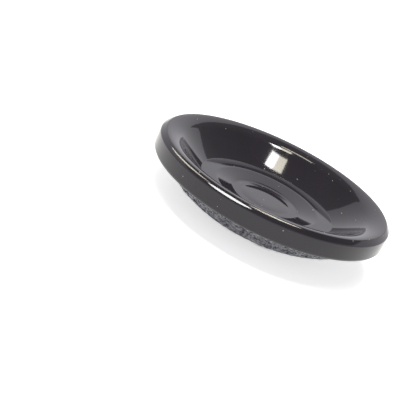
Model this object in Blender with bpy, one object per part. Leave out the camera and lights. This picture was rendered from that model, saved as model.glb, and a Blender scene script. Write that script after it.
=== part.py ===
"""Caster cup: a moulded dish with a rolled rim, and a domed felt pad glued under it.

Metres, +Z up. The origin is the centre of the felt's flat underside, and Z is the axis of the cup.
"""

import math

import bpy

# Cup: outside, rim and skirt
CUP_DIAMETER = 0.089
OVERALL_HEIGHT = 0.01945
RIM_HEIGHT = 0.0080
RIM_EDGE_ROUND = 0.0012
RIM_FOOT_ROUND = 0.0024
SKIRT_THICKNESS = 0.0030
LIP_ROUND = 0.0004

# Rim: the sloping land outside its crest
LAND_WIDTH = 0.0020
LAND_FLAT = 0.0015
CREST_WIDTH = 0.0005
LAND_TOP_SLOPE = math.radians(38)
LAND_EDGE_SLOPE = math.radians(44)

# Flare and wall of the dish: distances from the crest inwards, and the slope there
BROW_WIDTH = 0.0015
BROW_SLOPE = math.radians(11.3)
FLARE_WIDTH = 0.0033
FLARE_SLOPE = math.radians(18)
SHOULDER_WIDTH = 0.0049
SHOULDER_SLOPE = math.radians(25)
STEEP_WIDTH = 0.0075
STEEP_SLOPE = math.radians(37.5)
STEEP_ROUND = 0.0010
WALL_FOOT_SLOPE = math.radians(28.5)

# Floor of the dish: radii and slopes, from the valley to the centre
VALLEY_RADIUS = 0.0259
VALLEY_ROUND = 0.0004
RING_SLOPE = math.radians(0.5)
RIDGE_RADIUS = 0.0204
RIDGE_ROUND = 0.0012
CONE_SLOPE = math.radians(11.8)
FLOOR_RADIUS = 0.0120
CREASE_WIDTH = 0.0013
CREASE_ROUND = 0.0009
CREASE_SLOPE = math.radians(14.5)
PAD_RADIUS = 0.0093
PAD_CROWN = 0.0040
PAD_LIP = 0.0004
PAD_EDGE_SLOPE = math.radians(-4)

# Mouldings and layers under the dish
WALL_THICKNESS = 0.0024
KNEE_ROUND = 0.0040
ADHESIVE_THICKNESS = 0.0004
CLEARANCE = 0.0003

# Felt pad
FELT_TUCK = 0.0010
FELT_FLAT_RADIUS = 0.0140
FELT_CROWN_POWER = 2.4
FELT_CROWN_POINTS = 14

# Fineness of the turned surfaces, and the share of a straight that the arcs at its ends may take
TURN_STEPS = 72
ARC_STEP = math.radians(11.25)
ARC_ROOM = 0.96
SLOPE_STEP = math.radians(6)
RUN_STEP = 0.0022

# Levels that follow from the sizes above
CUP_RADIUS = CUP_DIAMETER / 2
SKIRT_RADIUS = CUP_RADIUS - SKIRT_THICKNESS
CREST_RADIUS = CUP_RADIUS - LAND_WIDTH
RIM_FOOT_Z = OVERALL_HEIGHT - RIM_HEIGHT


def clear_scene():
    for obj in list(bpy.data.objects):
        bpy.data.objects.remove(obj)


def principled(name, colour, roughness):
    material = bpy.data.materials.new(name)
    material.use_nodes = True
    shader = material.node_tree.nodes["Principled BSDF"]
    shader.inputs["Base Color"].default_value = (*colour, 1.0)
    shader.inputs["Roughness"].default_value = roughness
    shader.inputs["Metallic"].default_value = 0.0
    return material


def sides(before, corner, after):
    """Unit directions from a corner to its two neighbours, and half the angle between them."""
    units = []
    for end in (before, after):
        length = math.dist(corner[:2], end[:2])
        units.append(((end[0] - corner[0]) / length, (end[1] - corner[1]) / length))
    (ax, az), (bx, bz) = units
    return units, math.acos(max(-1.0, min(1.0, ax * bx + az * bz))) / 2


def arc(before, corner, after, setback):
    """The points of an arc that starts and ends at the given distance from a corner."""
    ((ax, az), (bx, bz)), half_angle = sides(before, corner, after)
    radius = setback * math.tan(half_angle)
    middle = (ax + bx, az + bz)
    reach = math.hypot(radius, setback) / math.hypot(*middle)
    centre = (corner[0] + middle[0] * reach, corner[1] + middle[1] * reach)
    start = math.atan2(corner[1] + az * setback - centre[1], corner[0] + ax * setback - centre[0])
    end = math.atan2(corner[1] + bz * setback - centre[1], corner[0] + bx * setback - centre[0])
    turn = (end - start + math.pi) % (2 * math.pi) - math.pi
    steps = max(1, math.ceil(abs(turn) / ARC_STEP))
    angles = [start + turn * i / steps for i in range(steps + 1)]
    return [(centre[0] + radius * math.cos(a), centre[1] + radius * math.sin(a)) for a in angles]


def rounded(corners):
    """A profile through (radius, height, rounding) corners. Arcs that would meet shrink to fit."""
    setbacks = [0.0] * len(corners)
    for i in range(1, len(corners) - 1):
        half_angle = sides(*corners[i - 1 : i + 2])[1]
        setbacks[i] = corners[i][2] / math.tan(half_angle)
    fits = [1.0] * len(corners)
    for i in range(len(corners) - 1):
        room = ARC_ROOM * math.dist(corners[i][:2], corners[i + 1][:2])
        share = room / max(room, setbacks[i] + setbacks[i + 1])
        fits[i] = min(fits[i], share)
        fits[i + 1] = min(fits[i + 1], share)
    points = [corners[0][:2]]
    for i in range(1, len(corners) - 1):
        if corners[i][2]:
            points += arc(*corners[i - 1 : i + 2], setbacks[i] * fits[i])
        else:
            points.append(corners[i][:2])
    return points + [corners[-1][:2]]


def dish_slopes():
    """The slope of the dish and rim at named radii, from the centre to the edge of the rim's land."""
    return [
        (0.0, 0.0),
        (PAD_RADIUS - PAD_CROWN, 0.0),
        (PAD_RADIUS, PAD_EDGE_SLOPE),
        (PAD_RADIUS + PAD_LIP, 0.0),
        (FLOOR_RADIUS, 0.0),
        (FLOOR_RADIUS + CREASE_WIDTH, CREASE_SLOPE),
        (FLOOR_RADIUS + CREASE_WIDTH + CREASE_ROUND, CONE_SLOPE),
        (RIDGE_RADIUS - RIDGE_ROUND, CONE_SLOPE),
        (RIDGE_RADIUS, RING_SLOPE),
        (VALLEY_RADIUS - VALLEY_ROUND, RING_SLOPE),
        (VALLEY_RADIUS, WALL_FOOT_SLOPE),
        (CREST_RADIUS - STEEP_WIDTH, STEEP_SLOPE),
        (CREST_RADIUS - STEEP_WIDTH + STEEP_ROUND, STEEP_SLOPE),
        (CREST_RADIUS - SHOULDER_WIDTH, SHOULDER_SLOPE),
        (CREST_RADIUS - FLARE_WIDTH, FLARE_SLOPE),
        (CREST_RADIUS - BROW_WIDTH, BROW_SLOPE),
        (CREST_RADIUS, 0.0),
        (CREST_RADIUS + CREST_WIDTH, -LAND_TOP_SLOPE),
        (CREST_RADIUS + LAND_FLAT, -LAND_EDGE_SLOPE),
    ]


def dish_points():
    """The top of the cup as (radius, height), with its crest at the overall height."""
    points = [(0.0, 0.0)]
    crest = 0.0
    for (r0, slope0), (r1, slope1) in zip(dish_slopes(), dish_slopes()[1:]):
        steps = max(math.ceil((r1 - r0) / RUN_STEP), math.ceil(abs(slope1 - slope0) / SLOPE_STEP))
        for i in range(steps):
            slope = slope0 + (slope1 - slope0) * (i + 0.5) / steps
            height = points[-1][1] + (r1 - r0) / steps * math.tan(slope)
            points.append((r0 + (r1 - r0) * (i + 1) / steps, height))
        crest = max(crest, points[-1][1])
    return [(radius, height + OVERALL_HEIGHT - crest) for radius, height in points]


def level(radius):
    """The height of the top of the cup at the point next to the given radius."""
    return min(dish_points(), key=lambda point: abs(point[0] - radius))[1]


def underside(offset, outer_radius):
    """Corners under the dish, from the given radius to the axis, at a distance below the moulding."""
    valley_z = level(VALLEY_RADIUS)
    shoulder_radius = CREST_RADIUS - SHOULDER_WIDTH
    slope = math.atan2(level(shoulder_radius) - valley_z, shoulder_radius - VALLEY_RADIUS)
    below = WALL_THICKNESS + offset
    cone_z = valley_z - below / math.cos(slope)
    flat_z = level(FLOOR_RADIUS) - below
    knee_radius = VALLEY_RADIUS - (cone_z - flat_z) / math.tan(slope)
    outer_z = cone_z + (outer_radius - VALLEY_RADIUS) * math.tan(slope)
    return [(outer_radius, outer_z, 0.0), (knee_radius, flat_z, KNEE_ROUND), (0.0, flat_z, 0.0)]


def cup_profile():
    top = dish_points()
    land_radius, land_z = top[-1]
    edge_z = land_z - (CUP_RADIUS - land_radius) * math.tan(LAND_EDGE_SLOPE)
    outside = [
        (land_radius, land_z, 0.0),
        (CUP_RADIUS, edge_z, RIM_EDGE_ROUND),
        (CUP_RADIUS, RIM_FOOT_Z, RIM_FOOT_ROUND),
        (SKIRT_RADIUS, RIM_FOOT_Z, LIP_ROUND),
        *underside(0.0, SKIRT_RADIUS),
    ]
    return top[:-1] + rounded(outside)


def adhesive_profile():
    radius = SKIRT_RADIUS - CLEARANCE
    top = underside(CLEARANCE, radius)
    bottom = underside(CLEARANCE + ADHESIVE_THICKNESS, radius)
    return rounded(top[::-1] + bottom)


def felt_profile():
    radius = SKIRT_RADIUS - CLEARANCE
    top = underside(2 * CLEARANCE + ADHESIVE_THICKNESS, radius)
    edge_z = RIM_FOOT_Z + FELT_TUCK
    crown = []
    for i in range(FELT_CROWN_POINTS + 1):
        share = 1 - i / FELT_CROWN_POINTS
        height = edge_z * share**FELT_CROWN_POWER
        crown.append((FELT_FLAT_RADIUS + (radius - FELT_FLAT_RADIUS) * share, height))
    return rounded(top[::-1]) + crown + [(0.0, 0.0)]


def turned(name, profile, material):
    """A solid of revolution about Z. Its profile runs from the axis outwards, down and back to the axis."""
    mesh = bpy.data.meshes.new(name)
    edges = [(i, i + 1) for i in range(len(profile) - 1)]
    mesh.from_pydata([(radius, 0.0, height) for radius, height in profile], edges, [])
    mesh.materials.append(material)
    obj = bpy.data.objects.new(name, mesh)
    bpy.context.scene.collection.objects.link(obj)
    screw = obj.modifiers.new("turn", "SCREW")
    screw.axis = "Z"
    screw.angle = 2 * math.pi
    screw.steps = TURN_STEPS
    screw.render_steps = TURN_STEPS
    screw.use_merge_vertices = True
    screw.merge_threshold = 0.00001
    screw.use_smooth_shade = True
    return obj


def main():
    clear_scene()
    gloss_plastic = principled("dark_gloss_plastic", (0.020, 0.018, 0.020), 0.12)
    adhesive = principled("cream_adhesive", (0.72, 0.68, 0.55), 0.5)
    felt = principled("grey_felt", (0.16, 0.165, 0.175), 0.95)
    turned("cup", cup_profile(), gloss_plastic)
    turned("adhesive_layer", adhesive_profile(), adhesive)
    turned("felt_pad", felt_profile(), felt)


main()
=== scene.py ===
import math

import bpy
from mathutils import Matrix, Vector


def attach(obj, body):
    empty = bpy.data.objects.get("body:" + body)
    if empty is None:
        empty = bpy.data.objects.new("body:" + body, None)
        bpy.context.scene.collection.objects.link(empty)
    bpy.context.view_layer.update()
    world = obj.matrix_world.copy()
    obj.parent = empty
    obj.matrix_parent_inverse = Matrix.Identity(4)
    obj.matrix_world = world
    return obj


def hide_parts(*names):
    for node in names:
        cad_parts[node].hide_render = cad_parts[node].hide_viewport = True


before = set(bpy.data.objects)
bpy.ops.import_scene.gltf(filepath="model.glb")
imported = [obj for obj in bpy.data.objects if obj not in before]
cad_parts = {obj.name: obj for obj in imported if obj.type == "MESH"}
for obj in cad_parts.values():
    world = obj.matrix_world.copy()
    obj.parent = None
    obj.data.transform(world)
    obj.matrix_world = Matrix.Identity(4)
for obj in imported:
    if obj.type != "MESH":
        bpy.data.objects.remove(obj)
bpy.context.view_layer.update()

# Cup: outside, rim and skirt, in metres as in the solids
CUP_RADIUS = 0.0445
OVERALL_HEIGHT = 0.01945
RIM_HEIGHT = 0.0080
RIM_EDGE_ROUND = 0.0012
RIM_FOOT_ROUND = 0.0024
SKIRT_THICKNESS = 0.0030
LIP_ROUND = 0.0004

# Rim: the sloping land outside its crest
LAND_WIDTH = 0.0020
LAND_FLAT = 0.0015
CREST_WIDTH = 0.0005
LAND_TOP_SLOPE = math.radians(38)
LAND_EDGE_SLOPE = math.radians(44)

# Flare and wall of the dish: distances from the crest inwards, and the slope there
BROW_WIDTH = 0.0015
BROW_SLOPE = math.radians(11.3)
FLARE_WIDTH = 0.0033
FLARE_SLOPE = math.radians(18)
SHOULDER_WIDTH = 0.0049
SHOULDER_SLOPE = math.radians(25)
STEEP_WIDTH = 0.0075
STEEP_SLOPE = math.radians(37.5)
STEEP_ROUND = 0.0010
WALL_FOOT_SLOPE = math.radians(28.5)

# Floor of the dish: radii and slopes, from the valley to the centre
VALLEY_RADIUS = 0.0259
VALLEY_ROUND = 0.0004
RING_SLOPE = math.radians(0.5)
RIDGE_RADIUS = 0.0204
RIDGE_ROUND = 0.0012
CONE_SLOPE = math.radians(11.8)
FLOOR_RADIUS = 0.0120
CREASE_WIDTH = 0.0013
CREASE_ROUND = 0.0009
CREASE_SLOPE = math.radians(14.5)
PAD_RADIUS = 0.0093
PAD_CROWN = 0.0040
PAD_LIP = 0.0004
PAD_EDGE_SLOPE = math.radians(-4)

# Layers under the dish
WALL_THICKNESS = 0.0024
KNEE_ROUND = 0.0040
FELT_TOP_GAP = 0.0010

# Felt pad: the solid's dome, drawn in by the depth of the pile that stands on it
FELT_RADIUS = 0.0412
FELT_EDGE_Z = 0.01245
FELT_FLAT_RADIUS = 0.0140
FELT_CROWN_POWER = 2.4
PILE_DEPTH = 0.00047

# Fibres of the pile by shade: colour, number per square metre, length, radius and arch
FIBRES = {
    "black": ((0.018, 0.018, 0.021), 1450000, 0.0022, 0.000075, 0.00024),
    "charcoal": ((0.110, 0.112, 0.130), 1400000, 0.0022, 0.000070, 0.00024),
    "slate": ((0.330, 0.340, 0.390), 1500000, 0.0022, 0.000070, 0.00026),
    "ash": ((0.620, 0.630, 0.690), 1400000, 0.0022, 0.000065, 0.00026),
    "pale": ((0.850, 0.850, 0.860), 700000, 0.0024, 0.000065, 0.00028),
    "stray": ((0.720, 0.720, 0.740), 30000, 0.0055, 0.000050, 0.00080),
}
STRAY_LEVEL = 0.0015

# Shape of a fibre: shares of its length or arch, its random tilt, and the least and most of its random scale
FIBRE_BEND = 0.35
FIBRE_RISE = 2.0
FIBRE_SINK = 0.3
FIBRE_TILT = 0.12
FIBRE_LEAST = (0.55, 0.3, 0.4)
FIBRE_MOST = (1.25, 1.6, 1.2)
FIBRE_SPANS = 3
FIBRE_SIDES = 3

# Fineness of the turned surfaces, and the share of a straight side that an arc may take
TURN_STEPS = 384
ARC_STEP = math.radians(6)
ARC_LEAST_STEPS = 2
ARC_ROOM = 0.48
SLOPE_STEP = math.radians(1)
RUN_STEP = 0.0012
CROWN_POINTS = 36
FLAT_POINTS = 12
SEAM_MERGE = 0.000002
FULL_TURN = 2 * math.pi

# Gloss plastic: colours, cloudy polish, worn crest, dust and ripple
PLASTIC_IOR = 1.48
PLASTIC_DARK = (0.0140, 0.0115, 0.0160)
PLASTIC_LIGHT = (0.0165, 0.0135, 0.0190)
POLISH_SCALE = 55.0
POLISH_DETAIL = 3.0
POLISH_RANGE = (0.35, 0.65)
POLISH_ROUGHNESS = 0.045
POLISH_UNEVEN = 0.03
WORN_ROUGHNESS = 0.25
WORN_INNER_FADE = 0.0001
WORN_OUTER_FADE = 0.0002
DUST_COLOUR = (0.55, 0.52, 0.47)
DUST_SCALE = 400.0
DUST_SIZE = (0.05, 0.11)
DUST_CHANCE = (0.52, 0.92)
DUST_COVER = 0.8
DUST_ROUGHNESS = 0.5
RIPPLE_SCALE = 240.0
RIPPLE_DETAIL = 1.0
RIPPLE_STRENGTH = 0.02
RIPPLE_DEPTH = 0.0002

# Adhesive film
ADHESIVE_DARK = (0.62, 0.58, 0.45)
ADHESIVE_LIGHT = (0.78, 0.74, 0.62)
ADHESIVE_SCALE = 180.0
ADHESIVE_DETAIL = 4.0
ADHESIVE_ROUGHNESS = 0.35
ADHESIVE_UNEVEN = 0.3

# Felt's ground: shades of its strands from dark to light, and its pattern
STRAND_SHADES = [
    (0.30, (0.010, 0.010, 0.011)),
    (0.45, (0.055, 0.056, 0.060)),
    (0.60, (0.150, 0.153, 0.165)),
    (0.75, (0.340, 0.340, 0.345)),
]
STRAND_SCALE = 1100.0
STRAND_DETAIL = 4.0
STRAND_BREAKUP = 0.7
STRAND_TWIST = 1.5
STRAND_BUMP = 0.8
STRAND_DEPTH = 0.0003
GROUND_ROUGHNESS = 0.95
GROUND_SPECULAR = 0.2

# Fibres
FIBRE_ROUGHNESS = 0.75
FIBRE_SPECULAR = 0.25
FIBRE_SHEEN = 0.15

# Camera: its place, where it looks, and how it is rolled
CAMERA_PLACE = (0.0, -0.418515, 0.151432)
LOOK_AZIMUTH = math.radians(-2.857)
LOOK_DOWN = math.radians(20.179)
LOOK_ROLL = math.radians(25.640)
CAMERA_ANGLE = math.radians(18.369)
CAMERA_NEAREST = 0.01
CAMERA_FARTHEST = 50.0

# Studio: colours, floor and surround
PURE_WHITE = (1.0, 1.0, 1.0)
COOL_WHITE = (0.92, 0.905, 0.95)
WARM_WHITE = (1.0, 0.95, 0.80)
SURROUND_STRENGTH = 1.0
PAPER_COLOUR = (0.70, 0.70, 0.70)
PAPER_GLOW = 0.65
FLOOR_HALF = 3.0
FLOOR_FADE_START = 0.75

# Lamps: direction from the cup, width, height, power and colour
LAMPS = {
    "softbox": ((0.103, 0.146, 0.984), 0.080, 0.20, 1.5, PURE_WHITE),
    "softbox_edge": ((0.020, 0.146, 0.989), 0.086, 0.20, 0.8, WARM_WHITE),
    "tube": ((-0.04, 0.383, 0.924), 0.17, 0.10, 0.5, WARM_WHITE),
}
LAMP_DISTANCE = 1.0

# Strip lights: where round the near rim each is mirrored and at which slopes, in degrees, colour, strength
STRIPS = {
    "strip_left": (25, 56, 40.0, 42.0, WARM_WHITE, 13.0),
    "strip_near": (3, 26, 41.0, 44.4, PURE_WHITE, 26.0),
    "strip_right": (-20, 5, 37.6, 39.4, WARM_WHITE, 22.0),
}
STRIP_STEPS = 24
STRIP_TAPER = 0.6

# Dim hood: its edge as (azimuth from the far side, elevation) and its other measures of angle in degrees
HOOD_EDGE = [
    (-180, 45), (-90, 45), (-40, 39), (-29, 39), (-20, 43), (0, 44),
    (12, 42), (18, 34), (20, 24), (28, 28), (40, 32), (90, 38),
]
HOOD_END = 180
HOOD_STEP = 6
HOOD_TOP = 89.5
HOOD_RINGS = 10
HOOD_DISTANCE = 2.0
HOOD_GLOW = 0.28

# Sockets of a Mix node for colours, by number because their names repeat
MIX_SHARE = 0
MIX_LOW = 6
MIX_HIGH = 7
MIX_COLOUR = 2

# Levels that follow from the sizes above
RIM_FOOT_Z = OVERALL_HEIGHT - RIM_HEIGHT
SKIRT_RADIUS = CUP_RADIUS - SKIRT_THICKNESS
CREST_RADIUS = CUP_RADIUS - LAND_WIDTH
CREST_END = CREST_RADIUS + CREST_WIDTH


class Wire:
    """One output of a node. Arithmetic on it adds Math nodes to the same tree."""

    def __init__(self, tree, socket=None):
        self.tree = tree
        self.socket = socket

    def node(self, kind, settings=None, sockets=None, output=0):
        """Adds any node: its settings are set first, then the values or links of its sockets."""
        made = self.tree.nodes.new(kind)
        for name, value in (settings or {}).items():
            if name == "stops":
                fill_ramp(made.color_ramp, value)
            else:
                setattr(made, name, value)
        for name, value in (sockets or {}).items():
            if isinstance(value, Wire):
                self.tree.links.new(value.socket, made.inputs[name])
            else:
                made.inputs[name].default_value = value
        return Wire(self.tree, made.outputs[output] if len(made.outputs) else None)

    def also(self, output):
        """Another output of the same node."""
        return Wire(self.tree, self.socket.node.outputs[output])

    def maths(self, operation, *values):
        return self.node("ShaderNodeMath", {"operation": operation}, dict(enumerate(values)))

    def __add__(self, other):
        return self.maths("ADD", self, other)

    def __radd__(self, other):
        return self.maths("ADD", other, self)

    def __sub__(self, other):
        return self.maths("SUBTRACT", self, other)

    def __rsub__(self, other):
        return self.maths("SUBTRACT", other, self)

    def __mul__(self, other):
        return self.maths("MULTIPLY", self, other)

    def __rmul__(self, other):
        return self.maths("MULTIPLY", other, self)

    def __truediv__(self, other):
        return self.maths("DIVIDE", self, other)

    def __rtruediv__(self, other):
        return self.maths("DIVIDE", other, self)

    def over(self, low, high):
        """0 below low and 1 above high, with a smooth step between them."""
        return self.node(
            "ShaderNodeMapRange",
            {"interpolation_type": "SMOOTHSTEP"},
            {"Value": self, "From Min": low, "From Max": high},
        )


def fill_ramp(ramp, stops):
    """Sets the stops of a colour ramp, each a place and a colour."""
    while len(ramp.elements) < len(stops):
        ramp.elements.new(1.0)
    for element, (place, colour) in zip(ramp.elements, stops):
        element.position = place
        element.color = (*colour, 1.0)


def finish(name):
    """A new material and its Principled shader."""
    material = bpy.data.materials.new(name)
    material.use_nodes = True
    return material, material.node_tree.nodes["Principled BSDF"]


def object_coords(tree):
    """The coordinates that place every pattern."""
    return Wire(tree).node("ShaderNodeTexCoord", output="Object")


def connect(wire, socket):
    """Links a wire to a socket of the Principled shader."""
    wire.tree.links.new(wire.socket, socket)


def mixed(share, low, high):
    """A colour between two others, each a colour or a wire, by a wire from 0 to 1."""
    ends = [end if isinstance(end, Wire) else (*end, 1.0) for end in (low, high)]
    sockets = {MIX_SHARE: share, MIX_LOW: ends[0], MIX_HIGH: ends[1]}
    return share.node("ShaderNodeMix", {"data_type": "RGBA"}, sockets, MIX_COLOUR)


def dust(coords):
    """1 on small round specks that stand here and there, and 0 elsewhere."""
    cells = coords.node("ShaderNodeTexVoronoi", sockets={"Vector": coords, "Scale": DUST_SCALE})
    dice = cells.node("ShaderNodeSeparateColor", sockets={"Color": cells.also("Color")})
    return (1.0 - cells.over(*DUST_SIZE)) * dice.over(*DUST_CHANCE)


def worn_crest(coords):
    """1 along the crest of the rim, where the polish is worn, and 0 elsewhere."""
    flat = coords.node("ShaderNodeVectorMath", {"operation": "MULTIPLY"}, {0: coords, 1: (1.0, 1.0, 0.0)})
    radius = flat.node("ShaderNodeVectorMath", {"operation": "LENGTH"}, {0: flat}, "Value")
    inside = radius.over(CREST_RADIUS, CREST_RADIUS + WORN_INNER_FADE)
    return inside * (1.0 - radius.over(CREST_END - WORN_OUTER_FADE, CREST_END))


def dark_gloss_plastic():
    """Near-black moulding with a polished skin, a faint ripple, a worn crest and a scatter of dust."""
    material, shader = finish("dark_gloss_plastic")
    shader.inputs["IOR"].default_value = PLASTIC_IOR
    coords = object_coords(material.node_tree)
    cloud = coords.node(
        "ShaderNodeTexNoise", sockets={"Vector": coords, "Scale": POLISH_SCALE, "Detail": POLISH_DETAIL}
    )
    speck = dust(coords)
    body = mixed(cloud.over(*POLISH_RANGE), PLASTIC_DARK, PLASTIC_LIGHT)
    connect(mixed(speck * DUST_COVER, body, DUST_COLOUR), shader.inputs["Base Color"])
    polish = POLISH_ROUGHNESS + POLISH_UNEVEN * cloud
    wear = DUST_ROUGHNESS * speck + WORN_ROUGHNESS * worn_crest(coords)
    connect(polish + wear, shader.inputs["Roughness"])
    ripple = coords.node(
        "ShaderNodeTexNoise", sockets={"Vector": coords, "Scale": RIPPLE_SCALE, "Detail": RIPPLE_DETAIL}
    )
    bump = ripple.node(
        "ShaderNodeBump", sockets={"Strength": RIPPLE_STRENGTH, "Distance": RIPPLE_DEPTH, "Height": ripple}
    )
    connect(bump, shader.inputs["Normal"])
    return material


def cream_adhesive():
    """Cured adhesive film with a cloudy, slightly uneven skin."""
    material, shader = finish("cream_adhesive")
    coords = object_coords(material.node_tree)
    cloud = coords.node(
        "ShaderNodeTexNoise", sockets={"Vector": coords, "Scale": ADHESIVE_SCALE, "Detail": ADHESIVE_DETAIL}
    )
    connect(mixed(cloud, ADHESIVE_DARK, ADHESIVE_LIGHT), shader.inputs["Base Color"])
    connect(ADHESIVE_ROUGHNESS + ADHESIVE_UNEVEN * cloud, shader.inputs["Roughness"])
    return material


def felt_ground():
    """The matted ground between the fibres: dark and light strands pressed together."""
    material, shader = finish("felt_ground")
    shader.inputs["Roughness"].default_value = GROUND_ROUGHNESS
    shader.inputs["Specular IOR Level"].default_value = GROUND_SPECULAR
    coords = object_coords(material.node_tree)
    strands = coords.node(
        "ShaderNodeTexNoise",
        sockets={
            "Vector": coords,
            "Scale": STRAND_SCALE,
            "Detail": STRAND_DETAIL,
            "Roughness": STRAND_BREAKUP,
            "Distortion": STRAND_TWIST,
        },
    )
    colour = strands.node("ShaderNodeValToRGB", {"stops": STRAND_SHADES}, {"Fac": strands})
    connect(colour, shader.inputs["Base Color"])
    bump = strands.node(
        "ShaderNodeBump", sockets={"Strength": STRAND_BUMP, "Distance": STRAND_DEPTH, "Height": strands}
    )
    connect(bump, shader.inputs["Normal"])
    return material


def fibre_finish(name, colour):
    """One shade of dyed fibre."""
    material, shader = finish(name)
    shader.inputs["Base Color"].default_value = (*colour, 1.0)
    shader.inputs["Roughness"].default_value = FIBRE_ROUGHNESS
    shader.inputs["Specular IOR Level"].default_value = FIBRE_SPECULAR
    shader.inputs["Sheen Weight"].default_value = FIBRE_SHEEN
    return material


def unit(run):
    """The direction and the length of a run of (radius, height)."""
    length = math.hypot(*run)
    return (run[0] / length, run[1] / length), length


def rounded(corners):
    """A profile through (radius, height, rounding) corners, with an arc at each rounded one."""
    points = [corners[0][:2]]
    for before, corner, after in zip(corners, corners[1:], corners[2:]):
        if not corner[2]:
            points.append(corner[:2])
            continue
        (ax, az), a_length = unit((before[0] - corner[0], before[1] - corner[1]))
        (bx, bz), b_length = unit((after[0] - corner[0], after[1] - corner[1]))
        half_angle = math.acos(max(-1.0, min(1.0, ax * bx + az * bz))) / 2
        setback = min(corner[2] / math.tan(half_angle), ARC_ROOM * a_length, ARC_ROOM * b_length)
        radius = setback * math.tan(half_angle)
        middle = (ax + bx, az + bz)
        reach = math.hypot(radius, setback) / math.hypot(*middle)
        centre = (corner[0] + middle[0] * reach, corner[1] + middle[1] * reach)
        start = math.atan2(corner[1] + az * setback - centre[1], corner[0] + ax * setback - centre[0])
        end = math.atan2(corner[1] + bz * setback - centre[1], corner[0] + bx * setback - centre[0])
        turn = (end - start + math.pi) % FULL_TURN - math.pi
        steps = max(ARC_LEAST_STEPS, math.ceil(abs(turn) / ARC_STEP))
        for i in range(steps + 1):
            angle = start + turn * i / steps
            points.append((centre[0] + radius * math.cos(angle), centre[1] + radius * math.sin(angle)))
    return points + [corners[-1][:2]]


def dish_slopes():
    """The slope of the dish and rim at named radii, from the centre to the edge of the rim's land."""
    return [
        (0.0, 0.0),
        (PAD_RADIUS - PAD_CROWN, 0.0),
        (PAD_RADIUS, PAD_EDGE_SLOPE),
        (PAD_RADIUS + PAD_LIP, 0.0),
        (FLOOR_RADIUS, 0.0),
        (FLOOR_RADIUS + CREASE_WIDTH, CREASE_SLOPE),
        (FLOOR_RADIUS + CREASE_WIDTH + CREASE_ROUND, CONE_SLOPE),
        (RIDGE_RADIUS - RIDGE_ROUND, CONE_SLOPE),
        (RIDGE_RADIUS, RING_SLOPE),
        (VALLEY_RADIUS - VALLEY_ROUND, RING_SLOPE),
        (VALLEY_RADIUS, WALL_FOOT_SLOPE),
        (CREST_RADIUS - STEEP_WIDTH, STEEP_SLOPE),
        (CREST_RADIUS - STEEP_WIDTH + STEEP_ROUND, STEEP_SLOPE),
        (CREST_RADIUS - SHOULDER_WIDTH, SHOULDER_SLOPE),
        (CREST_RADIUS - FLARE_WIDTH, FLARE_SLOPE),
        (CREST_RADIUS - BROW_WIDTH, BROW_SLOPE),
        (CREST_RADIUS, 0.0),
        (CREST_RADIUS + CREST_WIDTH, -LAND_TOP_SLOPE),
        (CREST_RADIUS + LAND_FLAT, -LAND_EDGE_SLOPE),
    ]


def dish_points():
    """The top of the cup as (radius, height), with its crest at the overall height."""
    points = [(0.0, 0.0)]
    crest = 0.0
    for (r0, slope0), (r1, slope1) in zip(dish_slopes(), dish_slopes()[1:]):
        steps = max(math.ceil((r1 - r0) / RUN_STEP), math.ceil(abs(slope1 - slope0) / SLOPE_STEP))
        for i in range(steps):
            slope = slope0 + (slope1 - slope0) * (i + 0.5) / steps
            height = points[-1][1] + (r1 - r0) / steps * math.tan(slope)
            points.append((r0 + (r1 - r0) * (i + 1) / steps, height))
        crest = max(crest, points[-1][1])
    return [(radius, height + OVERALL_HEIGHT - crest) for radius, height in points]


def level(radius):
    """The height of the top of the cup at the point next to the given radius."""
    return min(dish_points(), key=lambda point: abs(point[0] - radius))[1]


def underside(offset, outer_radius):
    """Corners under the dish, from the given radius to the axis, at a distance below the moulding."""
    valley_z = level(VALLEY_RADIUS)
    shoulder_radius = CREST_RADIUS - SHOULDER_WIDTH
    slope = math.atan2(level(shoulder_radius) - valley_z, shoulder_radius - VALLEY_RADIUS)
    below = WALL_THICKNESS + offset
    cone_z = valley_z - below / math.cos(slope)
    flat_z = level(FLOOR_RADIUS) - below
    knee_radius = VALLEY_RADIUS - (cone_z - flat_z) / math.tan(slope)
    outer_z = cone_z + (outer_radius - VALLEY_RADIUS) * math.tan(slope)
    return [(outer_radius, outer_z, 0.0), (knee_radius, flat_z, KNEE_ROUND), (0.0, flat_z, 0.0)]


def cup_profile():
    """The moulding's outline, from the middle of the dish over the rim and under to the axis."""
    top = dish_points()
    land_radius, land_z = top[-1]
    edge_z = land_z - (CUP_RADIUS - land_radius) * math.tan(LAND_EDGE_SLOPE)
    outside = [
        (land_radius, land_z, 0.0),
        (CUP_RADIUS, edge_z, RIM_EDGE_ROUND),
        (CUP_RADIUS, RIM_FOOT_Z, RIM_FOOT_ROUND),
        (SKIRT_RADIUS, RIM_FOOT_Z, LIP_ROUND),
        *underside(0.0, SKIRT_RADIUS),
    ]
    return top[:-1] + rounded(outside)


def felt_profile():
    """The felt's outline without its pile, from the glued side over the dome to the middle of its flat."""
    top = underside(FELT_TOP_GAP, FELT_RADIUS)
    crown = []
    for i in range(CROWN_POINTS + 1):
        share = 1 - i / CROWN_POINTS
        height = PILE_DEPTH + (FELT_EDGE_Z - PILE_DEPTH) * share**FELT_CROWN_POWER
        crown.append((FELT_FLAT_RADIUS + (FELT_RADIUS - FELT_FLAT_RADIUS) * share, height))
    flat = [(FELT_FLAT_RADIUS * (1 - i / FLAT_POINTS), PILE_DEPTH) for i in range(1, FLAT_POINTS + 1)]
    return rounded(top[::-1]) + crown + flat


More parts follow.
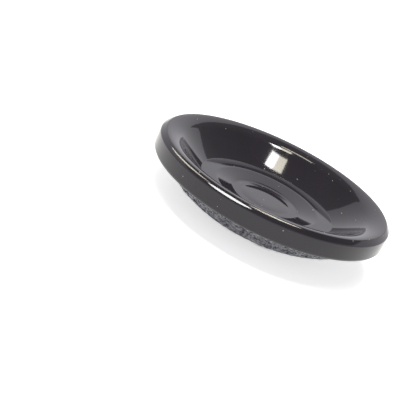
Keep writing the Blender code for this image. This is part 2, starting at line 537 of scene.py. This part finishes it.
def tree_inputs(name, kinds):
    """Starts a geometry node tree with named inputs. Returns a wire on its Geometry input."""
    tree = bpy.data.node_groups.new(name, "GeometryNodeTree")
    tree.interface.new_socket("Geometry", in_out="INPUT", socket_type="NodeSocketGeometry")
    for label, kind in kinds.items():
        tree.interface.new_socket(label, in_out="INPUT", socket_type=kind)
    tree.interface.new_socket("Geometry", in_out="OUTPUT", socket_type="NodeSocketGeometry")
    return Wire(tree).node("NodeGroupInput", output="Geometry")


def close_tree(shape, material):
    """Ends a geometry node tree: the shape becomes one real mesh and gets its finish."""
    real = shape.node("GeometryNodeRealizeInstances", sockets={"Geometry": shape})
    coloured = real.node("GeometryNodeSetMaterial", sockets={"Geometry": real, "Material": material})
    coloured.node("NodeGroupOutput", sockets={"Geometry": coloured})
    return shape.tree


def turning_tree():
    """Turns a profile, given as the points of a mesh in the XZ plane, about Z."""
    given = tree_inputs(
        "turning",
        {"Points": "NodeSocketInt", "Steps": "NodeSocketInt", "Finish": "NodeSocketMaterial"},
    )
    steps = given.also("Steps")
    rows = steps + 1.0
    grid = given.node(
        "GeometryNodeMeshGrid", sockets={"Vertices X": given.also("Points"), "Vertices Y": rows}
    )
    index = given.node("GeometryNodeInputIndex")
    along = index.maths("FLOOR", index / rows)
    around = index.maths("MODULO", index, rows)
    place = given.node("GeometryNodeInputPosition")
    sample = given.node(
        "GeometryNodeSampleIndex",
        {"data_type": "FLOAT_VECTOR"},
        {"Geometry": given, "Value": place, "Index": along},
    )
    turn = given.node(
        "ShaderNodeVectorRotate",
        {"rotation_type": "Z_AXIS"},
        {"Vector": sample, "Angle": around / steps * FULL_TURN},
    )
    moved = given.node("GeometryNodeSetPosition", sockets={"Geometry": grid, "Position": turn})
    merged = given.node("GeometryNodeMergeByDistance", sockets={"Geometry": moved, "Distance": SEAM_MERGE})
    smooth = given.node("GeometryNodeSetShadeSmooth", sockets={"Geometry": merged})
    return close_tree(smooth, given.also("Finish"))


def random_vector(least, most, seed):
    """A random vector for each fibre, between two others that are each a vector or a wire."""
    sockets = {0: least, 1: most, "Seed": seed}
    return seed.node("FunctionNodeRandomValue", {"data_type": "FLOAT_VECTOR"}, sockets)


def pile_tree():
    """Scatters arched fibres over a surface, each turned and tilted at random."""
    given = tree_inputs(
        "pile",
        {
            "Density": "NodeSocketFloat",
            "Length": "NodeSocketFloat",
            "Thickness": "NodeSocketFloat",
            "Arch": "NodeSocketFloat",
            "Tilt": "NodeSocketFloat",
            "Seed": "NodeSocketInt",
            "Finish": "NodeSocketMaterial",
        },
    )
    length = given.also("Length")
    arch = given.also("Arch")
    tilt = given.also("Tilt")
    seed = given.also("Seed")
    points = given.node(
        "GeometryNodeDistributePointsOnFaces",
        sockets={"Mesh": given, "Density": given.also("Density"), "Seed": seed},
    )
    sink = arch * -FIBRE_SINK
    start = given.node("ShaderNodeCombineXYZ", sockets={"X": length * -0.5, "Z": sink})
    middle = given.node("ShaderNodeCombineXYZ", sockets={"Y": length * FIBRE_BEND, "Z": arch * FIBRE_RISE})
    end = given.node("ShaderNodeCombineXYZ", sockets={"X": length * 0.5, "Z": sink})
    bow = given.node(
        "GeometryNodeCurveQuadraticBezier",
        sockets={"Resolution": FIBRE_SPANS, "Start": start, "Middle": middle, "End": end},
    )
    section = given.node(
        "GeometryNodeCurvePrimitiveCircle",
        {"mode": "RADIUS"},
        {"Resolution": FIBRE_SIDES, "Radius": given.also("Thickness")},
    )
    fibre = given.node(
        "GeometryNodeCurveToMesh", sockets={"Curve": bow, "Profile Curve": section, "Fill Caps": True}
    )
    lean = tilt * -1.0
    least = given.node("ShaderNodeCombineXYZ", sockets={"X": lean, "Y": lean})
    most = given.node("ShaderNodeCombineXYZ", sockets={"X": tilt, "Y": tilt, "Z": FULL_TURN})
    swing = given.node("FunctionNodeEulerToRotation", sockets={0: random_vector(least, most, seed)})
    stance = given.node(
        "FunctionNodeRotateRotation",
        {"rotation_space": "LOCAL"},
        {"Rotation": points.also("Rotation"), "Rotate By": swing},
    )
    copies = given.node(
        "GeometryNodeInstanceOnPoints",
        sockets={
            "Points": points,
            "Instance": fibre,
            "Rotation": stance,
            "Scale": random_vector(FIBRE_LEAST, FIBRE_MOST, seed),
        },
    )
    return close_tree(copies, given.also("Finish"))


def placed(name, data):
    """A new object in the scene."""
    obj = bpy.data.objects.new(name, data)
    bpy.context.scene.collection.objects.link(obj)
    return obj


def grown(name, mesh, tree, values):
    """A new object whose mesh is what a geometry node tree makes of the given mesh."""
    obj = placed(name, mesh)
    modifier = obj.modifiers.new("grow", "NODES")
    modifier.node_group = tree
    for item in tree.interface.items_tree:
        if item.in_out == "INPUT" and item.name in values:
            modifier[item.identifier] = values[item.name]
    graph = bpy.context.evaluated_depsgraph_get()
    made = bpy.data.meshes.new_from_object(obj.evaluated_get(graph))
    obj.modifiers.remove(modifier)
    obj.data = made
    made.name = name
    return obj


def turned(name, profile, material, tree):
    """A piece turned about Z from its profile."""
    mesh = bpy.data.meshes.new(name + "_profile")
    mesh.from_pydata([(radius, 0.0, height) for radius, height in profile], [], [])
    return grown(name, mesh, tree, {"Points": len(profile), "Steps": TURN_STEPS, "Finish": material})


def dome_of(felt, lowest):
    """The part of the felt's ground that shows above a level, without the side that is glued."""
    shown = [
        face.vertices[:]
        for face in felt.data.polygons
        if face.normal.z < 0.0 and lowest <= face.center.z < FELT_EDGE_Z
    ]
    dome = bpy.data.meshes.new("felt_dome")
    dome.from_pydata([point.co[:] for point in felt.data.vertices], [], shown)
    return dome


def build_cup():
    """The moulded cup, the felt with its fibres, and the finish of the adhesive's own solid."""
    turning = turning_tree()
    pile = pile_tree()
    cup = turned("moulded_cup", cup_profile(), dark_gloss_plastic(), turning)
    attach(cup, "root")
    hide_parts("cup")
    felt = turned("felt_ground", felt_profile(), felt_ground(), turning)
    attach(felt, "root")
    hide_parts("felt_pad")
    for seed, (name, (colour, density, length, thickness, arch)) in enumerate(FIBRES.items()):
        fibres = grown(
            "felt_fibres_" + name,
            dome_of(felt, STRAY_LEVEL if name == "stray" else 0.0),
            pile,
            {
                "Density": density,
                "Length": length,
                "Thickness": thickness,
                "Arch": arch,
                "Tilt": FIBRE_TILT,
                "Seed": seed,
                "Finish": fibre_finish("fibre_" + name, colour),
            },
        )
        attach(fibres, "root")
    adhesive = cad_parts["adhesive_layer"]
    adhesive.data.materials.clear()
    adhesive.data.materials.append(cream_adhesive())


def make_camera():
    """A camera turned as the photograph shows the cup, with the cup itself level."""
    forward = Vector(
        (
            math.sin(LOOK_AZIMUTH) * math.cos(LOOK_DOWN),
            math.cos(LOOK_AZIMUTH) * math.cos(LOOK_DOWN),
            -math.sin(LOOK_DOWN),
        )
    )
    sideways = Vector((math.cos(LOOK_AZIMUTH), -math.sin(LOOK_AZIMUTH), 0.0))
    upright = sideways.cross(forward)
    across = sideways * math.cos(LOOK_ROLL) + upright * math.sin(LOOK_ROLL)
    up = upright * math.cos(LOOK_ROLL) - sideways * math.sin(LOOK_ROLL)
    data = bpy.data.cameras.new("camera")
    data.angle = CAMERA_ANGLE
    data.clip_start = CAMERA_NEAREST
    data.clip_end = CAMERA_FARTHEST
    camera = placed("camera", data)
    axes = Matrix((across, up, -forward)).transposed()
    camera.matrix_world = Matrix.Translation(CAMERA_PLACE) @ axes.to_4x4()
    bpy.context.scene.camera = camera


def emptied(owner):
    """Clears the node tree of a material or a world. Returns a wire to build it from."""
    owner.use_nodes = True
    owner.node_tree.nodes.clear()
    return Wire(owner.node_tree)


def shining(start, colour, strength):
    """A plain emission."""
    return start.node("ShaderNodeEmission", sockets={"Color": (*colour, 1.0), "Strength": strength})


def white_floor():
    """Pale paper that looks white. Its glow shows to the camera and in gloss, and doesn't light the cup."""
    material = bpy.data.materials.new("white_floor")
    start = emptied(material)
    camera_ray = start.node("ShaderNodeLightPath", output="Is Camera Ray")
    glossy_ray = camera_ray.also("Is Glossy Ray")
    glass_ray = camera_ray.also("Is Transmission Ray")
    shown = start.maths("MAXIMUM", camera_ray, start.maths("MAXIMUM", glossy_ray, glass_ray))
    paper = start.node("ShaderNodeBsdfDiffuse", sockets={"Color": (*PAPER_COLOUR, 1.0)})
    near = start.node("ShaderNodeAddShader", sockets={0: paper, 1: shining(start, PURE_WHITE, PAPER_GLOW)})
    far = shining(start, COOL_WHITE, SURROUND_STRENGTH)
    coords = object_coords(material.node_tree)
    distance = coords.node("ShaderNodeVectorMath", {"operation": "LENGTH"}, {0: coords}, "Value")
    fade = distance.over(FLOOR_FADE_START, FLOOR_HALF)
    white = start.node("ShaderNodeMixShader", sockets={0: fade, 1: near, 2: far})
    surface = start.node("ShaderNodeMixShader", sockets={0: shown, 1: paper, 2: white})
    start.node("ShaderNodeOutputMaterial", sockets={"Surface": surface})
    return material


def even_glow(name, colour, strength):
    """A surface of the studio that shines evenly, so that it looks the same from every side."""
    material = bpy.data.materials.new(name)
    start = emptied(material)
    start.node("ShaderNodeOutputMaterial", sockets={"Surface": shining(start, colour, strength)})
    return material


def studio_mesh(name, points, faces, material):
    """A mesh of the studio around the cup."""
    mesh = bpy.data.meshes.new(name)
    mesh.from_pydata(points, [], faces)
    mesh.materials.append(material)
    return placed(name, mesh)


def hood_edge():
    """The hood's edge with points added between its corners, so that it bends evenly."""
    edge = []
    for (az0, el0), (az1, el1) in zip(HOOD_EDGE, HOOD_EDGE[1:] + [(HOOD_END, HOOD_EDGE[0][1])]):
        steps = max(1, round(abs(az1 - az0) / HOOD_STEP))
        for i in range(steps):
            edge.append((az0 + (az1 - az0) * i / steps, el0 + (el1 - el0) * i / steps))
    return edge


def make_hood():
    """A dim hood high over the set, which the polished dish mirrors."""
    edge = hood_edge()
    points = []
    for ring in range(HOOD_RINGS + 1):
        for azimuth, elevation in edge:
            a = math.radians(azimuth)
            e = math.radians(elevation + (HOOD_TOP - elevation) * ring / HOOD_RINGS)
            aim = Vector((math.cos(e) * math.sin(a), math.cos(e) * math.cos(a), math.sin(e)))
            points.append(aim * HOOD_DISTANCE)
    count = len(edge)
    faces = []
    for ring in range(HOOD_RINGS):
        low = ring * count
        high = low + count
        for i in range(count):
            j = (i + 1) % count
            faces.append((low + i, low + j, high + j, high + i))
    hood = studio_mesh("hood", points, faces, even_glow("dark_hood", PURE_WHITE, HOOD_GLOW))


def make_floor():
    """A square of paper under the cup."""
    corners = [(x * FLOOR_HALF, y * FLOOR_HALF, 0.0) for x, y in ((-1, -1), (1, -1), (1, 1), (-1, 1))]
    floor = studio_mesh("floor", corners, [(0, 1, 2, 3)], white_floor())


def area_lamp(name, direction, width, height, power, colour):
    """A rectangular lamp that faces the cup from a direction, with its width level."""
    data = bpy.data.lights.new(name, "AREA")
    data.color = colour
    data.shape = "RECTANGLE"
    data.size = width
    data.size_y = height
    data.energy = power
    aim = Vector(direction).normalized()
    sideways = (Vector((1.0, 0.0, 0.0)) - aim * aim.x).normalized()
    axes = Matrix((sideways, aim.cross(sideways), aim)).transposed()
    lamp = placed(name, data)
    lamp.matrix_world = Matrix.Translation(aim * LAMP_DISTANCE) @ axes.to_4x4()


def strip_light(name, start, end, low, high, colour, strength):
    """A bent strip of light, set where one stretch of the rim's land mirrors it to the camera as a line."""
    middle = math.radians(low + high) / 2
    points = []
    for i in range(STRIP_STEPS + 1):
        around = math.radians(start + (end - start) * i / STRIP_STEPS)
        outward = Vector((-math.sin(around), -math.cos(around), 0.0))
        place = outward * CREST_END + Vector((0.0, 0.0, OVERALL_HEIGHT))
        sight = (place - Vector(CAMERA_PLACE)).normalized()
        half = math.radians(high - low) / 2 * math.sin(math.pi * i / STRIP_STEPS) ** STRIP_TAPER
        for slope in (middle - half, middle + half):
            normal = outward * math.sin(slope) + Vector((0.0, 0.0, math.cos(slope)))
            points.append(place + (sight - 2 * sight.dot(normal) * normal) * LAMP_DISTANCE)
    faces = [(2 * i, 2 * i + 1, 2 * i + 3, 2 * i + 2) for i in range(STRIP_STEPS)]
    strip = studio_mesh(name, points, faces, even_glow(name, colour, strength))


def make_light():
    """An even surround, and the lamps and strips that the gloss mirrors."""
    world = bpy.data.worlds.new("studio")
    bpy.context.scene.world = world
    start = emptied(world)
    surround = start.node(
        "ShaderNodeBackground", sockets={"Color": (*COOL_WHITE, 1.0), "Strength": SURROUND_STRENGTH}
    )
    start.node("ShaderNodeOutputWorld", sockets={"Surface": surround})
    for name, lamp in LAMPS.items():
        area_lamp(name, *lamp)
    for name, strip in STRIPS.items():
        strip_light(name, *strip)


def main():
    """The dressed cup and its studio."""
    scene = bpy.context.scene
    scene.view_settings.view_transform = "Standard"
    make_camera()
    build_cup()
    make_floor()
    make_hood()
    make_light()


main()
